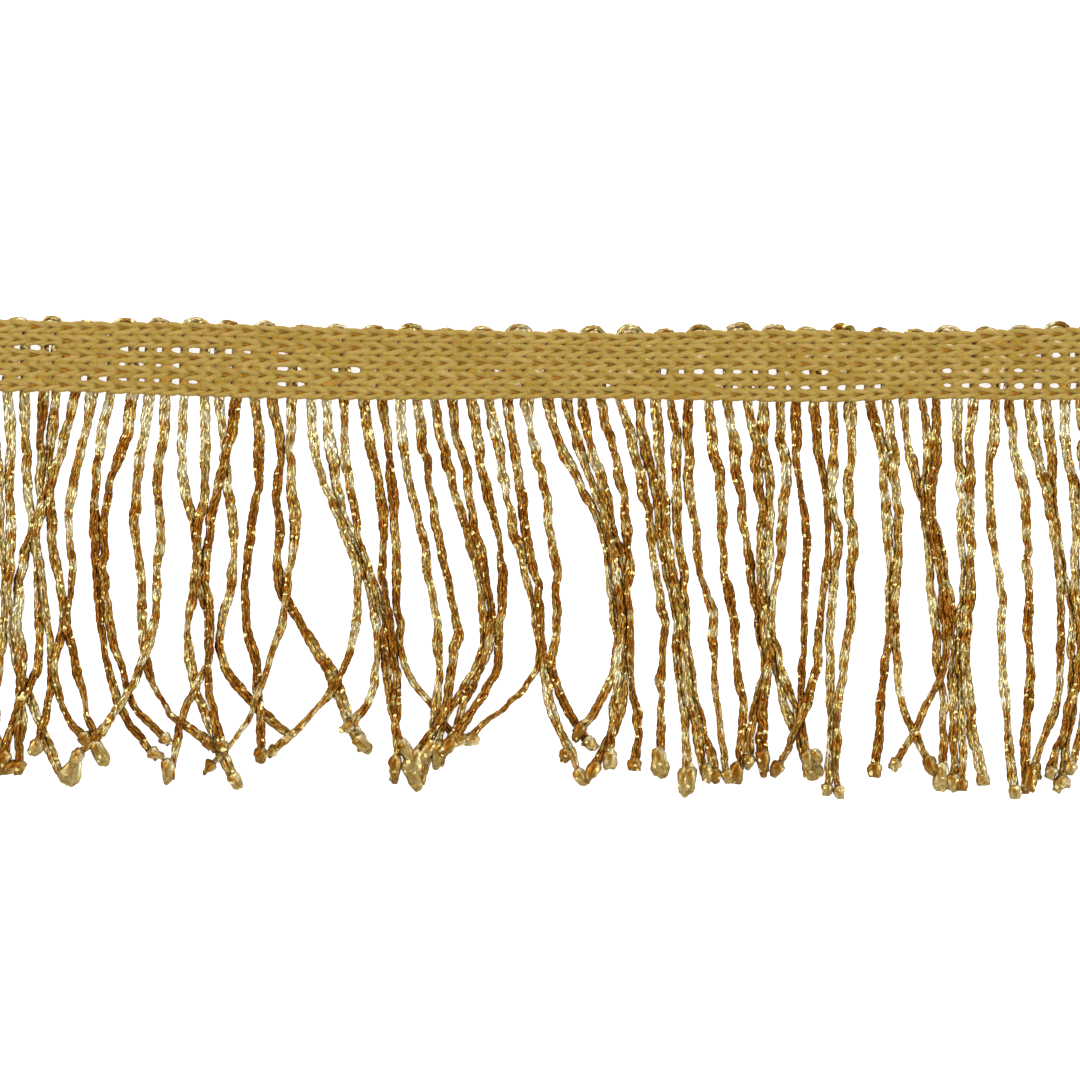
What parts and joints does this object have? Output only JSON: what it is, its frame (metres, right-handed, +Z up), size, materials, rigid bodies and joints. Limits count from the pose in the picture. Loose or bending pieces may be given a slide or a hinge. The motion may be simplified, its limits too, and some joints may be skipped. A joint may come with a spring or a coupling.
{
  "type": "chainette fringe trim",
  "caption": "Cut length of flat fringe trim: a narrow chain-stitch knitted heading with loose metallic chainette strands that fan out and cross, laid face up.",
  "frame": {"origin": "middle of the laid trim's outline, on the surface it lies on", "axes": "+X along the trim, to the right with the heading away from the viewer; +Y across it, towards the heading's looped free edge; +Z up, out of the trim's face"},
  "size_m": [0.162, 0.0652, 0.0035],
  "materials": {
    "heading_yarn": "matte knitted gold-tan yarn",
    "foil_yarn": "glittering metallic gold chainette yarn"
  },
  "bodies": {
    "root": {"heading": "heading_yarn", "fringe": "foil_yarn"}
  },
  "joints": []
}
